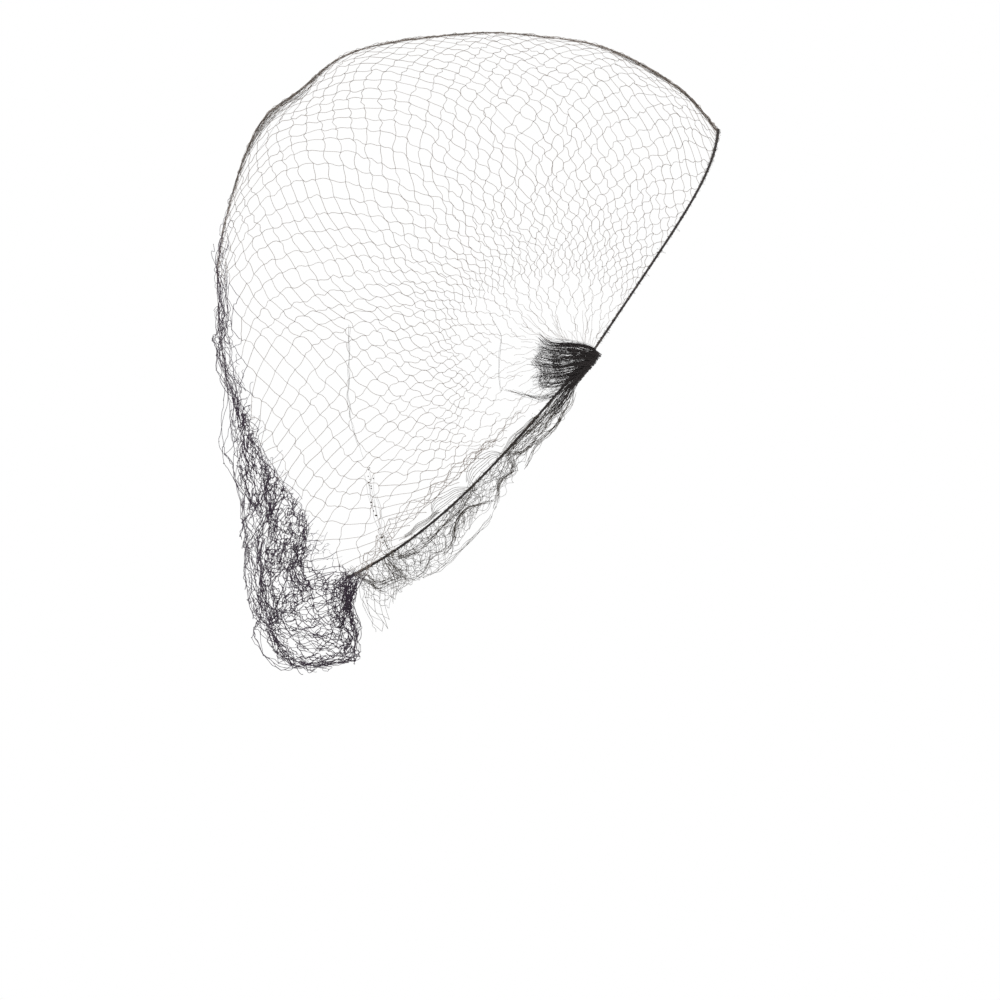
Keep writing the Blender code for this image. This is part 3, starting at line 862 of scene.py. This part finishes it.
def make_slack(materials, skin):
    layers = Bundle()
    low = (112 * MM, 150 * MM)
    crumpled_sheet(layers, 31, 2.4 * MM, 0.3 * MM, FREE_PATH, (100 * MM, 150 * MM))
    crumpled_sheet(layers, 41, 1.9 * MM, 1.5 * MM, CRUMPLE_PATH, low)
    crumpled_sheet(layers, 43, 2.1 * MM, 4.0 * MM, CRUMPLE_PATH, low)
    layers.make_pair("pouch_layers", materials["slack"], "netting", ("netting",))
    random = np.random.default_rng(51)
    folds = Bundle()
    for fold in FOLDS:
        paths = fold_strands(fold, skin, random, wave=0.95)
        folds.threads(paths, POUCH_THREAD * random.uniform(0.5, 0.95, (len(paths), 1)))
    folds.make_pair("pouch_folds", materials["slack"], "netting", ("netting",))


def make_loose_strands(materials, skin):
    random = np.random.default_rng(55)
    bundle = Bundle()
    for fold in LOOSE:
        paths = fold_strands(fold, skin, random, shortest=0.6, wave=0.35)
        bundle.threads(paths, DARK_THREAD * random.uniform(0.7, 1.1, (len(paths), 1)))
    beads = along(side_path(CREASE), run_of(side_path(CREASE)), random.uniform(55, 94, 26) * MM)
    beads = over_ear(beads + random.normal(size=beads.shape) * 0.5 * MM)
    bundle.knots(beads, KNOT * random.uniform(1.2, 2.4, len(beads)), random)
    bundle.make_pair("loose_strands", materials["frill"], "netting")


def make_loops(materials):
    """Loose loops that stand off the net down the back."""
    random = np.random.default_rng(61)
    bundle = Bundle()
    turn = np.linspace(0, math.pi, 9)
    paths = []
    for _ in range(BACK_LOOPS):
        place = random.uniform(0.47, 0.98)
        angle = -np.abs(random.normal()) * 0.08
        centre = form(place, angle)
        normal = outward(np.array(place), np.array(angle))
        lengthways = unit(form(min(place + 0.004, 1), angle) - form(place - 0.004, angle))
        lengthways = unit(lengthways + np.array([0, random.normal() * 0.5, 0]))
        small = 1 - 0.4 * smoothstep(place, 0.75, 0.85)
        half = random.uniform(1.2, 3.4) * MM * small
        height = random.uniform(0.6, 2.0) * MM * small
        wave = random.normal(size=(9, 3)) * 0.16 * MM
        path = centre + np.outer(np.cos(turn) * half, lengthways)
        path += np.outer(np.sin(turn) ** 0.7 * height - 0.6 * MM, normal) + wave
        paths.append(path)
    bundle.threads(np.array(paths), POUCH_THREAD * 0.6)
    bundle.make_pair("back_loops", materials["slack"], "netting")


# The elastic


def cell_angle(across):
    share = 2 * across / CELLS_ACROSS - 1
    return END_ANGLE * share * (1 - CROWN_CLOSER + CROWN_CLOSER * share**2)


def elastic_route():
    """The elastic's centre line: forehead to left ear, nape, right ear and back to the forehead."""
    stations = CELLS_ACROSS * RIM_PARTS // 2
    angles = np.array([cell_angle(2 * station / RIM_PARTS) for station in range(stations + 1)])
    front = form(0, angles)
    back = form(1, angles[::-1])
    ears = [np.array([[EAR_FORE, side * EAR_SPAN / 2, -EAR_DROP]]) for side in (1, -1)]
    return np.vstack([front, ears[0], back, ears[1], front[:1]])


def make_cover(materials):
    """Fine yarns wound both ways round the elastic, and the net's edge loops on it."""
    route = elastic_route()
    run = run_of(route)
    per_turn = 8
    count = int(run[-1] / YARN_PITCH * per_turn)
    wanted = np.linspace(0, run[-1], count)
    centre = along(route, run, wanted)
    tangent = unit(np.gradient(centre, axis=0))
    first = unit(np.cross(tangent, np.array([0.3, 0.2, 1.0])))
    second = np.cross(tangent, first)
    bundle = Bundle()
    for hand in (1, -1):
        turn = hand * 2 * math.pi * wanted / YARN_PITCH
        radius = ELASTIC_DIAMETER / 2 + YARN * 0.5
        path = centre + (first * np.cos(turn)[:, None] + second * np.sin(turn)[:, None]) * radius
        bundle.threads(path[None], YARN)
    bundle.make("elastic_cover", materials["elastic"], "elastic")

    random = np.random.default_rng(71)
    loops = Bundle()
    spots = random.uniform(0, run[-1], EDGE_LOOPS)
    centre = along(route, run, spots)
    ahead = along(route, run, np.minimum(spots + 0.5 * MM, run[-1]))
    lengthways = unit(ahead - along(route, run, spots - 0.5 * MM))
    first = unit(np.cross(lengthways, unit(random.normal(size=centre.shape))))
    second = np.cross(lengthways, first)
    turn = np.linspace(0, 2 * math.pi, 11)
    big = (ELASTIC_DIAMETER / 2 + random.gamma(1.1, 0.26, len(spots)) * MM)[:, None, None]
    lean = random.uniform(-1.2, 1.2, len(spots))[:, None, None] * MM
    bulge = 1 + random.uniform(-0.3, 0.9, len(spots))[:, None, None] * (0.5 - 0.5 * np.cos(turn))[:, None]
    paths = centre[:, None] + first[:, None] * np.cos(turn)[:, None] * big * bulge
    paths += second[:, None] * np.sin(turn)[:, None] * (ELASTIC_DIAMETER / 2 + YARN)
    paths += lengthways[:, None] * lean * np.sin(turn / 2)[:, None]
    loops.threads(paths, DARK_THREAD * 0.75)
    outside = centre + first * (ELASTIC_DIAMETER / 2 + YARN)
    loops.knots(outside, KNOT * random.uniform(0.8, 1.4, len(spots)), random)
    loops.make("edge_loops", materials["frill"], "netting")


# The frill


def frill_points(place, row_share):
    """Points of the right frill, by their place from the ear to the nape and their row from the
    elastic outwards."""
    place, row_share = np.broadcast_arrays(np.asarray(place, float), np.asarray(row_share, float))
    angle = -(FRILL_EAR_ANGLE + (FRILL_NAPE_ANGLE - FRILL_EAR_ANGLE) * place)
    width = FRILL_WIDTH * column(FRILL, "width", place)
    depth = RUFFLE_DEPTH * column(FRILL, "ruffle", place)
    wave = np.sin(2 * math.pi * RUFFLES_A_SIDE * place)
    drape = place**3
    fore, down = 0.68 * (1 - drape) + 0.30 * drape, 0.74 * (1 - drape) + 0.95 * drape
    away = unit(np.stack([fore, 0.18 * (1 - drape), -down], axis=-1))
    lift = depth * (0.55 + 0.45 * wave) * row_share
    reach = ELASTIC_DIAMETER / 2 + width * row_share * (1 + 0.10 * np.sin(23 * place))
    points = form(1, angle) + away * reach[..., None]
    points[..., 1] -= lift
    return points


def make_frill(materials):
    random = np.random.default_rng(81)
    bundle = Bundle()
    for layer, count in enumerate((61, 45)):
        rows = np.linspace(0, 1, 7)[:, None] * (1 - 0.3 * layer)
        cols = np.linspace(0.01, 1, count)[None] + np.sin(rows * 4 + layer) * 0.004
        rows = rows * (1 + 0.65 * (1 - layer) * smoothstep(cols, 0.86, 0.98))
        points = frill_points(np.clip(cols, 0, 1), rows)
        points = points + drift(points, 4 * MM, 82 + layer) * 1.0 * MM * rows[..., None]
        points = points + random.normal(size=points.shape) * 0.35 * MM * rows[..., None]
        starts, stops, knots = diamond_pairs(*points.shape[:2])
        here, there = (points[tuple(pair.T)] for pair in (starts, stops))
        normals = np.zeros_like(here)
        normals[:, 1] = -1
        paths = slack_paths(here, there, CELL_SIDE * 0.6, normals, random)
        bundle.threads(paths, DARK_THREAD * 1.2 * random.uniform(0.85, 1.35, (len(paths), 1)))
        bundle.knots(points[tuple(knots.T)], KNOT * random.uniform(0.7, 1.0, len(knots)), random)
    lengthways = []
    for _ in range(34):
        start = random.uniform(0, 0.8) ** 1.6
        place = np.linspace(start, min(start + random.uniform(0.1, 0.3), 1), 40)
        row = np.clip(random.uniform(0.05, 1.0) + np.cumsum(random.normal(size=40)) * 0.03, 0, 1)
        points = frill_points(place, row)
        lengthways.append(points + drift(points, 2.4 * MM, new_seed(random)) * 0.5 * MM)
    bundle.threads(np.array(lengthways), DARK_THREAD * 1.2)
    crossways = []
    for _ in range(70):
        row = np.linspace(0, random.uniform(0.6, 1.0), 24)
        place = random.uniform(0.25, 0.80) + 0.05 * row + 0.012 * np.sin(row * 7 + 1)
        points = frill_points(place, row)
        crossways.append(points + drift(points, 3.0 * MM, 86) * 0.5 * MM)
    bundle.threads(np.array(crossways), DARK_THREAD * 1.1)
    skin = frill_points(np.linspace(0, 1, 200)[None], np.linspace(0, 1, 8)[:, None])
    skin = skin.reshape(-1, 3)
    for fold in FRILL_FOLDS:
        paths = fold_strands(fold, skin, random, points=24, shortest=0.45, wave=0.35)
        bundle.threads(paths, DARK_THREAD * random.uniform(1.1, 1.8, (len(paths), 1)))
    bundle.make_pair("frill_net", materials["frill"], "frill", ("edge_frill_{}",))


# The gathered ends at the ears


def ear_points(direction, distance, side):
    """The netting's surface at distances from an ear, in directions seen from the side."""
    lines = OUTLINE_POINTS - EAR
    turns = np.unwrap(np.arctan2(lines[:, 1], lines[:, 0])) % (2 * math.pi)
    behind = np.minimum(turns.searchsorted(direction), len(turns) - 1)
    reach = np.clip(distance / np.linalg.norm(lines[behind], axis=-1), 0, 1)
    width = np.abs(form(OUTLINE_SHARES[behind], side * 2 / math.pi * np.arccos(reach))[..., 1])
    return np.stack(
        [EAR_FORE + np.cos(direction) * distance, side * width, -EAR_DROP + np.sin(direction) * distance],
        axis=-1,
    )


def over_ear(flat):
    """Points on the right side's surface round the ear, from where they are seen from the side."""
    off = flat - EAR
    direction = np.arctan2(off[..., 1], off[..., 0]) % (2 * math.pi)
    points = ear_points(direction, np.linalg.norm(off, axis=-1), -1)
    points[..., 0], points[..., 2] = flat[..., 0], flat[..., 1]
    return points


CORE_PATH = side_path(GATHER_CORE)
CORE_RUN = run_of(CORE_PATH)


def on_core(share):
    """Points at shares of the gather's core, seen from the side."""
    return along(CORE_PATH, CORE_RUN, share * CORE_RUN[-1])


def lock_strands(lock, random):
    """Strands that fan out along a lock's path."""
    path = side_path(lock.path)
    run = run_of(path)
    first = random.uniform(0, 1, lock.strands) * lock.draw
    stop = first + (1 - first) * random.uniform(0.30, 1.0, lock.strands) ** 0.5
    share = first[:, None] + np.linspace(0.02, 1, LOCK_POINTS) * (stop - first)[:, None]
    flat = along(path, run, share * run[-1])
    fan = lock.spread * MM * (0.35 + 0.65 * share * (1 - 0.75 * share**4))[..., None]
    fan = fan * random.normal(size=(lock.strands, 1, 2)) * 0.7
    curl = np.cumsum(random.normal(size=(lock.strands, LOCK_POINTS, 2)), axis=1) * 0.17 * MM
    paths = over_ear(flat + fan + curl * share[..., None])
    deep = lock.depth * random.uniform(0, 1, (lock.strands, 1)) * (1 - 0.7 * share) * MM
    paths[..., 1] -= TUFT_SEAT + deep
    return paths


def crossing_ends(random):
    """Ends that run from the core towards the gather's outer arc, across the locks."""
    arc = side_path(GATHER_ARC)
    arc_run = run_of(arc)
    share = random.uniform(0, 0.9, CROSSING_ENDS)
    first = on_core(share * 0.9)
    last = along(arc, arc_run, share * arc_run[-1])
    out = np.linspace(0, 1, LOCK_POINTS)[None, :, None]
    reach = (last - first) * random.uniform(0.3, 0.9, (CROSSING_ENDS, 1))
    curl = np.cumsum(random.normal(size=(CROSSING_ENDS, LOCK_POINTS, 2)), axis=1) * 0.17 * MM
    paths = over_ear(first[:, None] + reach[:, None] * out + curl * out)
    deep = 3.2 * MM * random.uniform(0, 1, (CROSSING_ENDS, 1)) * (1 - 0.75 * out[..., 0])
    paths[..., 1] -= TUFT_SEAT + deep
    return paths


def bound_ends(random):
    """Ends wound round the core."""
    turn = np.linspace(0, 1, 40)
    tangent = unit(CORE_PATH[-1] - CORE_PATH[0])
    across = np.array([-tangent[1], tangent[0]])
    paths = []
    for _ in range(BOUND_ENDS):
        start = random.uniform(-0.05, 0.75)
        part = np.clip(start + turn * random.uniform(0.08, 0.30), 0, 1)
        line = on_core(part)
        thick = KNOT_RADIUS * (0.66 - 0.30 * part) * random.uniform(0.8, 1.15)
        spin = turn * 2 * math.pi * random.uniform(0.8, 2.2) + random.uniform(0, 6.28)
        path = over_ear(line + across * (np.cos(spin) * thick)[:, None])
        path[:, 1] = over_ear(line)[:, 1] - KNOT_RADIUS / 2 - np.sin(spin) * thick
        paths.append(path)
    return np.array(paths)


def trailing_ends(random):
    """Ends that run on down the elastic."""
    middle, end = np.array(GATHER_TRAIL) * MM
    paths = []
    for _ in range(TRAILING_ENDS):
        start = on_core(random.uniform(0.3, 0.95))
        bend = middle + random.normal(size=2) * 0.7 * MM
        path = smooth_path([start, bend, end + random.normal(size=2) * 1.1 * MM], 10)
        run = run_of(path)
        line = over_ear(along(path, run, np.linspace(0, random.uniform(0.6, 1.0), 20) * run[-1]))
        line[:, 1] -= random.uniform(0.3, 2.2) * MM
        paths.append(line + drift(line, 2 * MM, new_seed(random)) * 0.3 * MM)
    return np.array(paths)


def make_gathers(materials):
    random = np.random.default_rng(91)
    strands = Bundle()
    for lock in LOCKS:
        strands.threads(lock_strands(lock, random), DARK_THREAD * np.linspace(1.25, 0.75, LOCK_POINTS))
    strands.threads(crossing_ends(random), DARK_THREAD * np.linspace(1.2, 0.7, LOCK_POINTS))
    strands.threads(bound_ends(random), DARK_THREAD * 1.5)
    strands.threads(trailing_ends(random), DARK_THREAD * 1.1)
    strands.make_pair("gather_strands", materials["gather"], "gather", ("ear_gather_{}",))

    core = Bundle()
    part = np.linspace(-0.02, 1.02, 30)
    line = over_ear(on_core(np.clip(part, 0, 1)))
    line[:, 1] -= KNOT_RADIUS / 2
    rounded = np.clip(np.sin(math.pi * (part * 0.94 + 0.03)), 0, 1) ** 0.35
    thick = KNOT_RADIUS * (0.62 - 0.32 * part) * rounded
    core.threads(line[None], thick[None], 20)
    smooth = core.vertices[0]
    core.vertices[0] = smooth + drift(smooth, 0.8 * MM, 95) * 0.22 * MM
    core.make_pair("gather_core", materials["gather"], "gather", ("ear_gather_{}",))


# Materials


def add_node(nodes, kind, inputs):
    """A shader node with some of its inputs set."""
    node = nodes.new("ShaderNode" + kind)
    for name, value in inputs.items():
        node.inputs[name].default_value = value
    return node


def yarn_material(name, dark, light, twist, roughness, sheen):
    """Fine fibre: mottled colour, a twisted surface and uneven gloss."""
    material = bpy.data.materials.new(name)
    material.use_nodes = True
    nodes, links = material.node_tree.nodes, material.node_tree.links
    shader = nodes["Principled BSDF"]
    shader.inputs["Sheen Weight"].default_value = sheen
    shader.inputs["Specular IOR Level"].default_value = 0.2
    where = add_node(nodes, "TexCoord", {})
    mottle = add_node(nodes, "TexNoise", {"Scale": 180, "Detail": 6})
    fine = add_node(nodes, "TexNoise", {"Scale": 2600, "Detail": 3})
    ply = add_node(nodes, "TexWave", {"Scale": twist, "Distortion": 2.5, "Detail": 2})
    ply.wave_type = "BANDS"
    ply.bands_direction = "DIAGONAL"
    tone = add_node(nodes, "ValToRGB", {})
    for stop, place, colour in zip(tone.color_ramp.elements, (0.32, 0.72), (dark, light)):
        stop.position = place
        stop.color = (*colour, 1)
    both = add_node(nodes, "Math", {1: 0.45})
    both.operation = "MULTIPLY_ADD"
    gloss = add_node(nodes, "MapRange", {"To Min": roughness - 0.12, "To Max": roughness + 0.15})
    bump = add_node(nodes, "Bump", {"Strength": 0.5, "Distance": 0.04 * MM})
    for texture in (mottle, fine, ply):
        links.new(where.outputs["Object"], texture.inputs["Vector"])
    for given, taken in (
        (fine.outputs["Fac"], both.inputs[0]),
        (mottle.outputs["Fac"], both.inputs[2]),
        (both.outputs[0], tone.inputs["Fac"]),
        (tone.outputs["Color"], shader.inputs["Base Color"]),
        (fine.outputs["Fac"], gloss.inputs["Value"]),
        (gloss.outputs["Result"], shader.inputs["Roughness"]),
        (ply.outputs["Fac"], bump.inputs["Height"]),
        (bump.outputs["Normal"], shader.inputs["Normal"]),
    ):
        links.new(given, taken)
    return material


def stage_and_camera():
    floor_mesh = bpy.data.meshes.new("floor")
    turn = np.linspace(0, 2 * math.pi, 97)[:-1]
    rim = [(0.95 * math.cos(t), 0.95 * math.sin(t), -0.40) for t in turn]
    floor_mesh.from_pydata(rim, [], [tuple(range(96))])
    floor = add_object("floor", floor_mesh)
    paint = bpy.data.materials.new("floor")
    paint.use_nodes = True
    shader = paint.node_tree.nodes["Principled BSDF"]
    shader.inputs["Base Color"].default_value = (0.86, 0.86, 0.86, 1)
    shader.inputs["Roughness"].default_value = 0.9
    floor_mesh.materials.append(paint)

    world = bpy.data.worlds.new("studio")
    bpy.context.scene.world = world
    world.use_nodes = True
    sky = world.node_tree.nodes["Background"]
    sky.inputs["Color"].default_value = (1, 1, 1, 1)
    sky.inputs["Strength"].default_value = 1.0
    for name, place, size, power in (
        ("key", (-1.2, -2.2, 1.6), 1.6, 34),
        ("fill", (1.8, -1.6, 0.6), 1.4, 14),
        ("back", (0.2, 2.4, 1.2), 1.6, 16),
    ):
        light = bpy.data.lights.new(name, "AREA")
        light.size = size
        light.energy = power
        lamp = add_object(name, light)
        lamp.location = place
        aim = np.array([0, 0, -0.11]) - np.array(place)
        lamp.rotation_euler = (
            math.atan2(math.hypot(aim[0], aim[1]), -aim[2]),
            0,
            math.atan2(aim[1], aim[0]) - math.pi / 2,
        )
    data = bpy.data.cameras.new("camera")
    data.type = "ORTHO"
    data.ortho_scale = VIEW_WIDTH
    camera = add_object("camera", data)
    camera.location = (VIEW_MIDDLE[0], -1.0, VIEW_MIDDLE[1])
    camera.rotation_euler = (math.pi / 2, 0, 0)
    bpy.context.scene.camera = camera
    bpy.context.scene.view_settings.view_transform = "Standard"


def main():
    stage_and_camera()
    materials = {use: yarn_material(*yarn) for use, yarn in YARNS.items()}
    skin = make_net(materials)
    make_bunched_rows(materials)
    make_slack(materials, skin)
    make_loose_strands(materials, skin)
    make_loops(materials)
    make_cover(materials)
    make_frill(materials)
    make_gathers(materials)
    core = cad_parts["rim_elastic"]
    for material_slot in core.material_slots:
        material_slot.material = materials["elastic"]


main()
